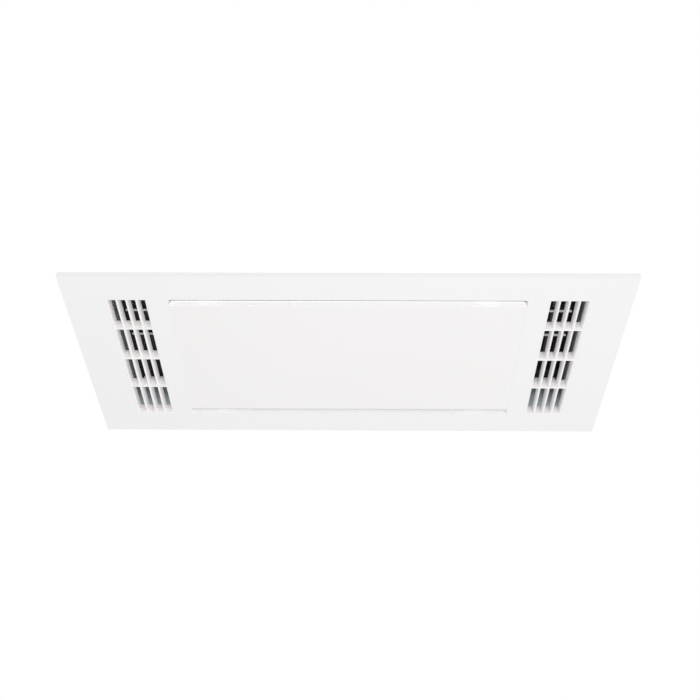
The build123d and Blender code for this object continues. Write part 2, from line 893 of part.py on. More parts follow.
def motor(fan):
    """Closed motor with three ears that sit on rubber grommets."""
    bottom = motor_bottom(fan)
    top = motor_top(fan)
    ear_level = deck_top + fan["scroll"] + grommet_height
    can = upright(0, 0, (bottom, top), motor_radius)
    rims = can.edges().filter_by(GeomType.CIRCLE)
    can = fillet(rims, motor_edge_radius)
    for angle in motor_ear_angles():
        half = motor_ear_width / 2
        ear = block((0, motor_ear_radius + half), (-half, half), (ear_level, ear_level + motor_plate))
        ear = Rot(0, 0, angle) * ear
        x, y = on_circle(motor_ear_radius, angle)
        can += ear
        can -= upright(x, y, (ear_level - 1, ear_level + motor_plate + 1), small_screw_radius)
    can -= upright(0, 0, (bottom - 1, top + 1), shaft_radius + running_clearance)
    return Pos(fan["x"], 0, 0) * can


def ear_parts(shape_at_ear):
    """One small part at each motor ear of both fans."""
    shapes = []
    for fan in wheel_places():
        for angle in motor_ear_angles():
            x, y = on_circle(motor_ear_radius, angle)
            shapes.append(Pos(fan["x"] + x, y, deck_top + fan["scroll"]) * shape_at_ear())
    return group(shapes)


def grommet():
    ring = upright(0, 0, (0, grommet_height), grommet_radius)
    return ring - upright(0, 0, (0, grommet_height), small_screw_radius)


def motor_screw():
    top = grommet_height + motor_plate
    screw = pan_screw(small_screw_head_radius, small_screw_head, small_screw_radius, motor_screw_length)
    return Pos(0, 0, top) * Rot(180, 0, 0) * screw


def spigot_screw_place(angle):
    y, z = on_circle((spigot_radius + spigot_flange_radius) / 2, angle)
    return spigot_y + y, spigot_z + z


def duct_spigot():
    """Round spigot on the end wall with two half seats for the flap."""
    end = -wall_x - spigot_length
    body = lying_x((-wall_x - spigot_flange, -wall_x), spigot_y, spigot_z, spigot_flange_radius)
    body += lying_x((end, -wall_x), spigot_y, spigot_z, spigot_radius)
    body -= lying_x((end - 1, -wall_x + 1), spigot_y, spigot_z, spigot_inner_radius)
    lower_face = flap_pin_x + flap_thickness / 2 + flap_gap
    upper_face = flap_pin_x - flap_thickness / 2 - flap_gap
    lower = (lower_face, lower_face + seat_thickness)
    upper = (upper_face - seat_thickness, upper_face)
    body += half_seat(lower, (spigot_z - spigot_radius, flap_pin_z - seat_pin_gap))
    body += half_seat(upper, (flap_pin_z + seat_pin_gap, spigot_z + spigot_radius))
    body -= lying_y(
        flap_pin_x, (spigot_y - spigot_radius, spigot_y + spigot_radius), flap_pin_z, flap_pin_radius
    )
    for angle in spigot_screw_angles:
        y, z = spigot_screw_place(angle)
        body -= lying_x((-wall_x - spigot_flange - 1, -wall_x + 1), y, z, small_screw_radius)
    return body


def half_seat(reach, level):
    """Part of a ledge round the inside of the spigot, between two levels."""
    ring = lying_x(reach, spigot_y, spigot_z, spigot_inner_radius + seat_root)
    ring -= lying_x((reach[0] - 1, reach[1] + 1), spigot_y, spigot_z, spigot_inner_radius - seat_width)
    band = block(
        (reach[0] - 1, reach[1] + 1),
        (spigot_y - spigot_radius, spigot_y + spigot_radius),
        level,
    )
    return ring & band


def damper_pin():
    """Steel pin held in the spigot's wall, its ends inside the spigot's outer face."""
    half = math.sqrt(spigot_radius**2 - (flap_pin_rise + flap_pin_radius) ** 2) - flap_pin_end_gap
    return lying_y(flap_pin_x, (spigot_y - half, spigot_y + half), flap_pin_z, flap_pin_radius)


def damper_flap():
    """Thin disc with flattened flanks that hangs from its pin and swings outward."""
    knuckle_top = flap_pin_rise + flap_knuckle_radius
    half_width = math.sqrt(spigot_inner_radius**2 - knuckle_top**2) - flap_flank_gap
    reach = (flap_pin_x - flap_thickness / 2, flap_pin_x + flap_thickness / 2)
    disc = lying_x(reach, spigot_y, spigot_z, spigot_inner_radius - flap_gap)
    flanks = (spigot_y - half_width, spigot_y + half_width)
    disc = disc & block((reach[0] - 1, reach[1] + 1), flanks, (0, 2 * spigot_z))
    disc += lying_y(flap_pin_x, flanks, flap_pin_z, flap_knuckle_radius)
    bore = (spigot_y - spigot_radius, spigot_y + spigot_radius)
    return disc - lying_y(flap_pin_x, bore, flap_pin_z, flap_pin_radius + running_clearance)


def spigot_screws():
    screws = []
    screw = pan_screw(small_screw_head_radius, small_screw_head, small_screw_radius, sheet_screw_length)
    for angle in spigot_screw_angles:
        y, z = spigot_screw_place(angle)
        screws.append(Pos(-wall_x - spigot_flange, y, z) * Rot(0, 90, 0) * screw)
    return group(screws)


def duct_faces():
    """Inner faces of the heater outlet duct: low X, high X and half its depth."""
    return duct_inner_x + duct_sheet, inner_x - duct_gap - duct_sheet, inner_y - duct_gap - duct_sheet


def heater_duct():
    """Folded duct that turns the heater's air down to its grille, with two ledges."""
    low_x, high_x, half_y = duct_faces()
    outer_y = half_y + duct_sheet
    level = (duct_bottom, duct_top)
    duct = block((duct_inner_x, high_x + duct_sheet), (-outer_y, outer_y), level)
    duct -= block((low_x, high_x), (-half_y, half_y), (duct_bottom - 1, duct_top - duct_sheet))
    window_level = (deck_top, deck_top + heater_scroll_height - scroll_wall)
    duct -= block((duct_inner_x - 1, low_x + 1), (-heater_top_y, -scroll_mouth_low_y), window_level)
    for side in sides:
        ledge_y = (side * half_y, side * (half_y - ledge_width))
        duct += block((low_x, high_x), ledge_y, (element_z - duct_sheet, element_z))
    return duct


def element_middle_x():
    low_x, high_x, _ = duct_faces()
    return (low_x + high_x) / 2


def element_frame():
    """Black moulded frame that closes the duct round the heating element."""
    low_x, high_x, half_y = duct_faces()
    level = (element_z, element_z + element_frame_wall)
    frame = block((low_x + duct_gap, high_x - duct_gap), (-half_y + duct_gap, half_y - duct_gap), level)
    middle = element_middle_x()
    collar_x = element_width / 2 + element_frame_wall
    collar_y = element_length / 2 + element_frame_wall
    collar_level = (element_z, element_z + element_frame_height)
    frame += block((middle - collar_x, middle + collar_x), (-collar_y, collar_y), collar_level)
    frame -= block(
        (middle - element_width / 2, middle + element_width / 2),
        (-element_length / 2, element_length / 2),
        (element_z + element_frame_wall, collar_level[1] + 1),
    )
    open_x = element_width / 2 - element_frame_lip
    open_y = element_length / 2 - element_frame_lip
    frame -= block(
        (middle - open_x, middle + open_x),
        (-open_y, open_y),
        (element_z - 1, element_z + element_frame_wall + 1),
    )
    return frame


def heating_element():
    """Block of thin fins in rows between bars, bedded in the frame."""
    row_width = (element_width - (fin_rows + 1) * element_bar) / fin_rows
    fin_count = int((element_length - 2 * element_bar) / fin_pitch)
    section = Rectangle(element_width, element_length)
    gap_size = fin_pitch - fin_thickness
    places = []
    for row in range(fin_rows):
        x = (row - (fin_rows - 1) / 2) * (row_width + element_bar)
        for number in range(fin_count):
            places.append(Pos(x, (number - (fin_count - 1) / 2) * fin_pitch))
    section -= [place * Rectangle(row_width, gap_size) for place in places]
    return Pos(element_middle_x(), 0, element_z + element_frame_wall) * extrude(section, element_height)


def terminal_tabs():
    """Spade tabs that stand on the element's bars."""
    base = element_z + element_frame_wall + element_height
    row_pitch = (element_width - element_bar) / fin_rows
    width, thickness, height = tab_size
    y = element_length / 2 - element_bar / 2
    tabs = []
    for row in range(fin_rows):
        x = element_middle_x() + (row - (fin_rows - 1) / 2) * row_pitch
        tab = Pos(x, y, base + height / 2) * Box(width, thickness, height)
        tabs.append(tab - lying_y(x, (y - 1, y + 1), base + tab_hole_height, tab_hole_radius))
    return group(tabs)


def thermal_cutout():
    """Round bimetal switch on the duct's outer wall, above the element."""
    _, high_x, _ = duct_faces()
    z = element_z + cutout_rise
    face_x = high_x - cutout_height
    body = lying_x((face_x, high_x), 0, z, cutout_radius)
    cap = lying_x((face_x - cutout_cap_step, face_x), 0, z, cutout_radius - cutout_cap_step)
    ears = Pos(high_x - cutout_ears[0] / 2, 0, z) * Box(*cutout_ears)
    return body + cap + ears


def guard_bars(side, low):
    """Sheet strips on edge, each with a white rod along its lower edge, fixed to the inner wall.

    They divide the air path into equal spaces and stop short of the last column of cells.
    """
    pitch = grille_cells_length / (guard_bar_count + 1)
    span = (side * low, side * (grille_outer_edge - grille_cell_pitch))
    bars = []
    for number in range(guard_bar_count):
        y = (number - (guard_bar_count - 1) / 2) * pitch
        web = (y - guard_web / 2, y + guard_web / 2)
        bar = lying_x(span, y, guard_bar_z, guard_bar_radius)
        bars.append(bar + block(span, web, (guard_bar_z, guard_bar_z + guard_web_height)))
    return group(bars)


def intake_baffle():
    """Folded sheet between the extractor's end chamber and the middle, on two legs under the deck."""
    outer_x = -duct_inner_x - duct_sheet
    half_y = inner_y - duct_gap
    top = guard_bar_z + baffle_rise
    baffle = block((outer_x, outer_x + duct_sheet), (-half_y, half_y), (duct_bottom, top))
    baffle += block((outer_x, outer_x + baffle_fold), (-half_y, half_y), (top - duct_sheet, top))
    level = (top - duct_sheet, deck_top - deck_wall)
    for side in sides:
        wall = (side * half_y, side * (half_y - duct_sheet))
        baffle += block((outer_x, outer_x + baffle_fold), wall, level)
        front = (side * half_y, side * (half_y - baffle_fold))
        baffle += block((outer_x, outer_x + duct_sheet), front, level)
    return baffle


def on_deck(size, corner):
    """Block of a given size standing on the deck from a corner."""
    return block(
        (corner[0], corner[0] + size[0]), (corner[1], corner[1] + size[1]), (deck_top, deck_top + size[2])
    )


def led_driver():
    case = on_deck(driver_size, driver_corner)
    case = fillet(case.edges().filter_by(Axis.Z), case_corner_radius)
    middle_x = driver_corner[0] + driver_size[0] / 2
    middle_y = driver_corner[1] + driver_size[1] / 2
    for number in range(driver_vents):
        y = middle_y + (number - (driver_vents - 1) / 2) * driver_vent_pitch
        case -= Pos(middle_x, y, deck_top + driver_size[2] - driver_vent[2] / 2) * Box(*driver_vent)
    return case


def terminal_block():
    """Row of screw terminals for the supply cable."""
    body = on_deck(terminal_size, terminal_corner)
    pitch = terminal_size[0] / terminal_ways
    top = deck_top + terminal_size[2]
    middle_y = terminal_corner[1] + terminal_size[1] / 2
    reach = (terminal_corner[1] - 1, terminal_corner[1] + terminal_size[1] + 1)
    for number in range(terminal_ways):
        x = terminal_corner[0] + (number + 0.5) * pitch
        body += upright(x, middle_y, (top, top + terminal_collar), pitch * 0.4)
        body -= upright(x, middle_y, (top, top + terminal_collar + 1), pitch * 0.25)
        body -= lying_y(x, reach, deck_top + terminal_size[2] * 0.4, pitch * 0.25)
    return body


def terminal_cover():
    """Cover over the terminals, open towards the cable inlet."""
    margin = terminal_cover_margin
    size = (terminal_size[0] + 2 * margin, terminal_size[1] + 2 * margin, terminal_cover_height)
    corner = (terminal_corner[0] - margin, terminal_corner[1] - margin)
    cover = fillet(on_deck(size, corner).edges().filter_by(Axis.Z), case_corner_radius)
    wall = terminal_cover_wall
    inside = block(
        (corner[0] - 1, corner[0] + size[0] - wall),
        (corner[1] + wall, corner[1] + size[1] - wall),
        (deck_top - 1, deck_top + size[2] - wall),
    )
    return cover - inside


def control_board():
    """Relay board standing on four feet inside its cover."""
    x, y = control_corner
    edge = control_cover_wall + control_board_gap
    far_x = control_size[0] - edge
    far_y = control_size[1] - edge
    low = deck_top + control_board_rise
    high = low + control_board_thickness
    board = block((x + edge, x + far_x), (y + edge, y + far_y), (low, high))
    for foot_x in (edge + control_foot_inset, far_x - control_foot_inset):
        for foot_y in (edge + control_foot_inset, far_y - control_foot_inset):
            board += upright(x + foot_x, y + foot_y, (deck_top, low), control_foot_radius)
    for number in range(relay_count):
        low_x = x + relay_margin[0]
        low_y = y + relay_margin[1] + number * relay_pitch
        relay_x = (low_x, low_x + relay_size[0])
        board += block(relay_x, (low_y, low_y + relay_size[1]), (high, high + relay_size[2]))
    return board


def control_cover():
    """Vented cover over the relay board."""
    cover = fillet(on_deck(control_size, control_corner).edges().filter_by(Axis.Z), case_corner_radius)
    x, y = control_corner
    wall = control_cover_wall
    top = deck_top + control_size[2]
    cover -= block(
        (x + wall, x + control_size[0] - wall),
        (y + wall, y + control_size[1] - wall),
        (deck_top - 1, top - wall),
    )
    vent_x = (x + control_vent_end, x + control_size[0] - control_vent_end)
    middle_y = y + control_size[1] / 2
    for number in range(control_vents):
        vent_y = middle_y + (number - (control_vents - 1) / 2) * control_vent_pitch
        half = control_vent_width / 2
        cover -= block(vent_x, (vent_y - half, vent_y + half), (top - wall - 1, top + 1))
    return cover


def run_capacitors():
    """One run capacitor for each motor, standing on the deck."""
    top = deck_top + capacitor_height
    width, thickness, height = capacitor_tab
    cans = []
    for x, side_y in zip(capacitor_x, (1, -1)):
        y = side_y * capacitor_y
        can = upright(x, y, (deck_top, top), capacitor_radius)
        can = fillet(can.edges().sort_by(Axis.Z)[-1], 2.0)
        for side in sides:
            tab_x = x + side * capacitor_tab_offset
            can += Pos(tab_x, y, top + height / 2) * Box(width, thickness, height)
        cans.append(can)
    return group(cans)


def cable_gland():
    """Screwed cable gland through the end wall, with its nut inside."""
    hexagon = Plane.YZ * RegularPolygon(gland_hex / 2, 6)
    outside = -wall_x - gland_hex_thickness
    body = Pos(outside, gland_y, gland_z) * extrude(hexagon, gland_hex_thickness)
    dome_end = outside - gland_dome_length
    dome = lying_x((dome_end, outside), gland_y, gland_z, gland_hex / 2 - gland_dome_step)
    dome = fillet(dome.edges().filter_by(GeomType.CIRCLE).sort_by(Axis.X)[0], 2 * gland_dome_step)
    body += dome
    inner_end = -inner_x + gland_inner_length
    body += lying_x((-wall_x, inner_end), gland_y, gland_z, gland_thread_radius)
    return body - lying_x((dome_end - 1, inner_end + 1), gland_y, gland_z, gland_bore_radius)


def gland_nut():
    hexagon = Plane.YZ * RegularPolygon(gland_hex / 2, 6)
    nut = Pos(-inner_x, gland_y, gland_z) * extrude(hexagon, gland_nut_thickness)
    reach = (-inner_x - 1, -inner_x + gland_nut_thickness + 1)
    return nut - lying_x(reach, gland_y, gland_z, gland_thread_radius)


def clamp_brackets():
    """Angles on the end walls that steady the upper ends of the clamp screws."""
    brackets = []
    for side_x, side_y in corners:
        half = clamp_bracket_width / 2
        y = (side_y * clamp_y - half, side_y * clamp_y + half)
        low = clamp_bracket_z
        shelf_x = (side_x * wall_x, side_x * (clamp_x + clamp_bracket_overhang))
        shelf = block(shelf_x, y, (low, low + clamp_bracket_sheet))
        leg_x = (side_x * wall_x, side_x * (wall_x + clamp_bracket_sheet))
        leg = block(leg_x, y, (low, low + clamp_bracket_leg))
        bore = upright(side_x * clamp_x, side_y * clamp_y, (low - 1, low + 2), clamp_screw_radius)
        brackets.append(shelf + leg - bore)
    return group(brackets)


def clamp_screws():
    screws = []
    length = clamp_bracket_z + clamp_bracket_sheet + clamp_screw_tail + housing_sheet
    screw = pan_screw(clamp_screw_head_radius, clamp_screw_head, clamp_screw_radius, length)
    for side_x, side_y in corners:
        screws.append(Pos(side_x * clamp_x, side_y * clamp_y, -housing_sheet) * screw)
    return group(screws)


def clamp_bush(side_x, side_y):
    """Threaded brass bush that climbs the screw and carries the arm."""
    top = ceiling_board + clamp_arm_height
    bush = upright(0, 0, (ceiling_board, top), clamp_bush_radius)
    bush += upright(0, 0, (top, top + clamp_bush_flange), clamp_bush_flange_radius)
    bush -= upright(0, 0, (ceiling_board - 1, top + 3), clamp_screw_radius + running_clearance)
    return Pos(side_x * clamp_x, side_y * clamp_y, 0) * bush


def clamp_arm(side_x, side_y):
    """Moulded arm, swung out over the ceiling board."""
    level = (ceiling_board, ceiling_board + clamp_arm_height)
    half = clamp_arm_width / 2
    arm = upright(0, 0, level, half + clamp_arm_boss)
    arm += block((0, clamp_arm_length), (-half, half), level)
    arm = fillet(arm.edges().filter_by(Axis.Z).group_by(Axis.X)[-1], half * 0.66)
    run, drop = clamp_arm_slope
    slope = [(clamp_arm_length - run + 1, level[1]), (clamp_arm_length + 1, level[1]),
             (clamp_arm_length + 1, level[1] - drop)]
    arm -= prism(slope, Plane.XZ, 3 * clamp_arm_width)
    arm -= upright(0, 0, (level[0] - 1, level[1] + 1), clamp_bush_radius + running_clearance)
    turn = 0 if side_x > 0 else 180
    return Pos(side_x * clamp_x, side_y * clamp_y, 0) * Rot(0, 0, turn) * arm


def all_parts():
    extractor, heater = wheel_places()
    low_x, _, _ = duct_faces()
    parts = {
        "face_plate": face_plate(),
        "grille_right": grille_right(),
        "grille_left": mirrored_x(grille_right()),
        "diffuser": diffuser(),
        "light_tray": light_tray(),
        "led_strips": led_strips(),
        "led_packages": led_packages(),
        "light_straps": light_straps(),
        "spring_clips": spring_clips(),
        "face_screws": face_screws(),
        "housing": housing(),
        "ceiling_flange": ceiling_flange(),
        "housing_rivets": housing_rivets(),
        "fan_deck": fan_deck(),
        "deck_screws": deck_screws(),
        "extractor_inlet_ring": inlet_ring(extractor),
        "extractor_scroll": scroll(extractor),
        "extractor_wheel": fan_wheel(extractor),
        "extractor_shaft": fan_shaft(extractor),
        "extractor_motor": motor(extractor),
        "heater_inlet_ring": inlet_ring(heater),
        "heater_scroll": scroll(heater),
        "heater_wheel": fan_wheel(heater),
        "heater_shaft": fan_shaft(heater),
        "heater_motor": motor(heater),
        "motor_grommets": ear_parts(grommet),
        "motor_screws": ear_parts(motor_screw),
        "duct_spigot": duct_spigot(),
        "damper_pin": damper_pin(),
        "damper_flap": damper_flap(),
        "spigot_screws": spigot_screws(),
        "heater_duct": heater_duct(),
        "element_frame": element_frame(),
        "heating_element": heating_element(),
        "terminal_tabs": terminal_tabs(),
        "thermal_cutout": thermal_cutout(),
        "heater_guard_bars": guard_bars(1, low_x),
        "intake_guard_bars": guard_bars(-1, low_x),
        "intake_baffle": intake_baffle(),
        "led_driver": led_driver(),
        "terminal_block": terminal_block(),
        "terminal_cover": terminal_cover(),
        "control_board": control_board(),
        "control_cover": control_cover(),
        "run_capacitors": run_capacitors(),
        "cable_gland": cable_gland(),
        "gland_nut": gland_nut(),
        "clamp_brackets": clamp_brackets(),
        "clamp_screws": clamp_screws(),
    }
    for number, (side_x, side_y) in enumerate(corners, start=1):
        parts[f"clamp_bush_{number}"] = clamp_bush(side_x, side_y)
        parts[f"clamp_arm_{number}"] = clamp_arm(side_x, side_y)
    return parts


os.makedirs("parts", exist_ok=True)
for name, shape in all_parts().items():
    export_step(shape, f"parts/{name}.step")
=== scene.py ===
import math

import bmesh
import bpy
from mathutils import Matrix, Vector


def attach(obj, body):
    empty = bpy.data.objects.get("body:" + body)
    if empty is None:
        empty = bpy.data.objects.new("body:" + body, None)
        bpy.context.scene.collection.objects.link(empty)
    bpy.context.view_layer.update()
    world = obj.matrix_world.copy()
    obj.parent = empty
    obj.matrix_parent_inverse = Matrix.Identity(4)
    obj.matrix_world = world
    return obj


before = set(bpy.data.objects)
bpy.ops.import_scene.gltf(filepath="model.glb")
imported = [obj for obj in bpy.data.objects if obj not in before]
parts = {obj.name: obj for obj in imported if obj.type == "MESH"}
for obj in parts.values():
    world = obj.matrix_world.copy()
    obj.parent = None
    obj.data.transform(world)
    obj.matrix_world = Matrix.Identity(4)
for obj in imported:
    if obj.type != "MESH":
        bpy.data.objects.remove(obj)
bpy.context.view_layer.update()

# Housing, its ceiling flange and its rivets
# A box folded from galvanised steel sheet, with pressed beads, closed at its corners by riveted tabs.
# An angle ring of the same sheet is welded round its mouth and bears on the ceiling board.


class Value:
    """A shader socket that can be written in sums, such as 1 - mask * 0.3."""

    def __init__(self, finish, socket):
        self.finish = finish
        self.socket = socket

    def math(self, operation, first, second):
        return self.finish.node("Math", {"operation": operation}, {0: first, 1: second})

    def __add__(self, other):
        return self.math("ADD", self, other)

    def __sub__(self, other):
        return self.math("SUBTRACT", self, other)

    def __rsub__(self, other):
        return self.math("SUBTRACT", other, self)

    def __mul__(self, other):
        return self.math("MULTIPLY", self, other)

    def __abs__(self):
        return self.math("ABSOLUTE", self, 0.0)

    __radd__ = __add__
    __rmul__ = __mul__


class Finish:
    """One material: its surface shader and the nodes that vary it."""

    def __init__(self, name, roughness=0.5, metallic=0.0, color=(0.5, 0.5, 0.5), **constants):
        self.material = bpy.data.materials.new(name)
        self.material.use_nodes = True
        self.tree = self.material.node_tree
        self.surface = self.tree.nodes["Principled BSDF"]
        self.surface.inputs["Base Color"].default_value = (*color, 1.0)
        self.surface.inputs["Roughness"].default_value = roughness
        self.surface.inputs["Metallic"].default_value = metallic
        for socket, value in constants.items():
            self.surface.inputs[socket.replace("_", " ")].default_value = value
        self.place = self.node("TexCoord", output="Object")

    def node(self, kind, settings=None, sockets=None, output=0):
        """Any shader node, with its settings and the values or links of its sockets."""
        made = self.tree.nodes.new("ShaderNode" + kind)
        for name, value in (settings or {}).items():
            setattr(made, name, value)
        for key, value in (sockets or {}).items():
            self.feed(made.inputs[key], value)
        return Value(self, made.outputs[output])

    def feed(self, socket, value):
        if isinstance(value, Value):
            self.tree.links.new(value.socket, socket)
        elif socket.type == "RGBA":
            socket.default_value = (*value, 1.0)
        else:
            socket.default_value = value

    def noise(self, size, detail=2.0, place=None):
        """Soft grain whose grains are about this size in metres."""
        sockets = {"Vector": place or self.place, "Scale": 1.0 / size, "Detail": detail}
        return self.node("TexNoise", {}, sockets, "Fac")

    def cells(self, size):
        """Flat patches of about this size, each with a level of its own."""
        color = self.node("TexVoronoi", {}, {"Vector": self.place, "Scale": 1.0 / size}, "Color")
        return self.node("SeparateColor", {}, {"Color": color}, "Red")

    def stretched(self, scale):
        """Object coordinates drawn out, so that grain becomes streaks."""
        return self.node("Mapping", {}, {"Vector": self.place, "Scale": scale})

    def along(self, axis):
        """Object coordinate along X, Y or Z, in metres."""
        return self.node("SeparateXYZ", {}, {"Vector": self.place}, axis)

    def between(self, factor, low, high):
        """Colour that runs from one to the other."""
        return self.node("Mix", {"data_type": "RGBA"}, {0: factor, 6: low, 7: high}, 2)

    def step(self, value, low, high):
        """0 at the low value and 1 at the high one, held beyond them."""
        return self.node("MapRange", {}, {"Value": value, "From Min": low, "From Max": high})

    def vary(self, **sockets):
        for name, value in sockets.items():
            self.feed(self.surface.inputs[name.replace("_", " ")], value)

    def relief(self, height, depth):
        """Bump of a given depth in metres."""
        self.vary(Normal=self.node("Bump", {}, {"Height": height, "Distance": depth, "Strength": 1.0}))

    def on(self, *names):
        """Gives the finish to nodes of the CAD model."""
        for name in names:
            slots = parts[name].data.materials
            slots.clear()
            slots.append(self.material)

    def walls(self):
        """Share of the surface that faces along X, Y and Z."""
        normal = self.node("NewGeometry", output="Normal")
        return [abs(self.node("SeparateXYZ", {}, {"Vector": normal}, axis)) for axis in "XYZ"]


galvanised = Finish("galvanised_steel", Emission_Strength=1.0)
flake = galvanised.cells(0.009)
fine_flake = galvanised.cells(0.003)
clouds = galvanised.noise(0.07, 3.0)
rolled = galvanised.noise(0.05, 4.0, galvanised.stretched((0.3, 3.0, 3.0)))
scuff = galvanised.step(rolled, 0.60, 0.75)
white_rust = galvanised.step(galvanised.noise(0.025, 4.0), 0.62, 0.80)
shade = flake * 0.35 + fine_flake * 0.15 + clouds * 0.5 + white_rust * 0.35 - scuff * 0.25
sheet_color = galvanised.between(shade, (0.44, 0.49, 0.51), (0.68, 0.72, 0.74))
galvanised.vary(
    Metallic=0.35 - white_rust * 0.25,
    Roughness=0.36 + flake * 0.14 + clouds * 0.10 + scuff * 0.10 + white_rust * 0.15,
)
galvanised.relief(galvanised.noise(0.0015, 2.0) + flake * 0.5, 0.00003)

# Inside the two end chambers the walls are given painted light, a bluish glow that brightens their shade.
# It is strongest low down on the long walls, a little weaker on the end walls, and fades above them.
chamber_start = 0.2055
chamber_end = 0.2656
chamber_half_depth = 0.1085
chamber_painted_light_low = 0.010
chamber_painted_light_high = 0.046
chamber_painted_light_color = (0.200, 0.245, 0.255)
end_wall_share = 0.80
edge_blur = 0.0001
end_wall, long_wall, _ = galvanised.walls()
from_middle = abs(galvanised.along("X"))
past_start = galvanised.step(from_middle, chamber_start, chamber_start + edge_blur)
before_end = galvanised.step(from_middle, chamber_end + edge_blur, chamber_end)
within = galvanised.step(abs(galvanised.along("Y")), chamber_half_depth + edge_blur, chamber_half_depth)
fade = galvanised.step(galvanised.along("Z"), chamber_painted_light_high, chamber_painted_light_low)
chamber_painted_light = past_start * before_end * within * fade * fade * (long_wall + end_wall * end_wall_share)
galvanised.vary(Emission_Color=galvanised.between(chamber_painted_light, (0.0, 0.0, 0.0), chamber_painted_light_color))

# Painted shade: inside the chamber on the heater's side, the sheet is darkened nearly to black in a band
# between two heights, with soft edges.
painted_shade_low = 0.034
painted_shade_high = 0.056
painted_shade_end_low = 0.140
painted_shade_end_high = 0.160
painted_shade_share = 0.9
painted_shade_color = (0.050, 0.052, 0.058)
heater_side = galvanised.step(galvanised.along("X"), chamber_start, chamber_start + edge_blur)
painted_shade = heater_side * before_end * within
painted_shade = painted_shade * galvanised.step(galvanised.along("Z"), painted_shade_low, painted_shade_high)
painted_shade = painted_shade * galvanised.step(galvanised.along("Z"), painted_shade_end_high, painted_shade_end_low)
galvanised.vary(Base_Color=galvanised.between(painted_shade * painted_shade_share, sheet_color, painted_shade_color))
galvanised.on("housing", "ceiling_flange")

zinc = Finish("zinc_screws", metallic=1.0)
haze = zinc.noise(0.002, 2.0)
rubbed = zinc.noise(0.0006, 2.0, zinc.stretched((1.0, 1.0, 4.0)))
zinc.vary(
    Base_Color=zinc.between(haze, (0.56, 0.58, 0.61), (0.78, 0.78, 0.75)),
    Roughness=0.24 + haze * 0.14 + rubbed * 0.10,
)
zinc.relief(rubbed, 0.000012)
zinc.on("housing_rivets")

# Spot welds
# Small dimpled discs where the flange's upstand is welded to the housing's walls.
# Pressed out of the sheet itself by the welding tips.
weld_radius = 0.0021
weld_rise = 0.0003
weld_rim = 0.0007
weld_dimple = 0.0002
weld_segments = 14
weld_pitch = 0.052
weld_level = 0.0024
upstand_x = 0.2668
upstand_y = 0.1098
weld_reach_x = 0.225
weld_reach_y = 0.062


def facing(place, normal):
    """Placement that turns the Z axis to a direction and moves to a place."""
    return Matrix.Translation(place) @ Vector(normal).to_track_quat("Z", "Y").to_matrix().to_4x4()


def pressed_disc(shape, place, normal, radius, rise, rim, dimple, segments):
    """Low disc standing on a wall, with a rim round a hollow middle."""
    normal = Vector(normal)
    made = bmesh.ops.create_cone(
        shape,
        cap_ends=True,
        segments=segments,
        radius1=radius,
        radius2=radius - rise,
        depth=rise,
        matrix=facing(Vector(place) + normal * rise / 2, normal),
    )
    shape.normal_update()
    faces = {face for vert in made["verts"] for face in vert.link_faces}
    middle = max(faces, key=lambda face: face.calc_center_median().dot(normal) + len(face.verts))
    bmesh.ops.inset_region(shape, faces=[middle], thickness=rim)
    bmesh.ops.translate(shape, vec=normal * -dimple, verts=middle.verts)


def new_piece(name, shape, body, finish):
    """Mesh object that rides on a body and takes the given finish."""
    bmesh.ops.recalc_face_normals(shape, faces=shape.faces)
    mesh = bpy.data.meshes.new(name)
    shape.to_mesh(mesh)
    shape.free()
    mesh.materials.append(finish.material)
    piece = bpy.data.objects.new(name, mesh)
    bpy.context.scene.collection.objects.link(piece)
    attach(piece, body)


def weld_row(reach, normal, place_at):
    """Evenly spaced welds along one wall, from one end of its reach to the other."""
    count = round(2 * reach / weld_pitch)
    sizes = (weld_radius, weld_rise, weld_rim, weld_dimple, weld_segments)
    for number in range(count + 1):
        along = -reach + 2 * reach * number / count
        pressed_disc(welds, place_at(along), normal, *sizes)


welds = bmesh.new()
for side in (-1, 1):
    weld_row(weld_reach_x, (0, side, 0), lambda x: (x, side * upstand_y, weld_level))
    weld_row(weld_reach_y, (side, 0, 0), lambda y: (side * upstand_x, y, weld_level))
new_piece("spot_welds", welds, "unit", galvanised)

# Knock-outs
# Two spare cable entries in the end wall over the heater: half-cut discs that an electrician taps out.
# Stamped in the sheet before it is folded.
knockout_radius = 0.0105
knockout_rise = 0.0004
knockout_rim = 0.0016
knockout_dimple = 0.0003
knockout_segments = 40
knockout_wall = 0.266
knockout_places = ((-0.070, 0.158), (-0.036, 0.158))

knockouts = bmesh.new()
knockout_sizes = (knockout_radius, knockout_rise, knockout_rim, knockout_dimple, knockout_segments)
for y, z in knockout_places:
    pressed_disc(knockouts, (knockout_wall, y, z), (1, 0, 0), *knockout_sizes)
new_piece("knockouts", knockouts, "unit", galvanised)

# Deck, fan inlets, scrolls and element frame
# Mouldings of black glass-filled plastic with a finely eroded surface and flow lines from the gates.
# They are screwed into the housing and carry the fans and the heater.
black = Finish("black_plastic", Specular_IOR_Level=0.4)
grain = black.noise(0.0006, 3.0)
flow = black.noise(0.05, 2.0, black.stretched((0.4, 1.5, 1.0)))
fibre = black.noise(0.0025, 4.0, black.stretched((1.0, 0.3, 1.0)))
dust = black.step(black.noise(0.035, 4.0), 0.55, 0.85)
black.vary(
    Base_Color=black.between(dust * 0.5 + flow * 0.3, (0.009, 0.009, 0.010), (0.026, 0.026, 0.028)),
    Roughness=0.42 + grain * 0.14 + dust * 0.15 + fibre * 0.06,
)
black.relief(grain + fibre * 0.4, 0.00004)
black.on("fan_deck", "extractor_inlet_ring", "extractor_scroll", "heater_inlet_ring", "heater_scroll")
black.on("element_frame")
zinc.on("deck_screws")

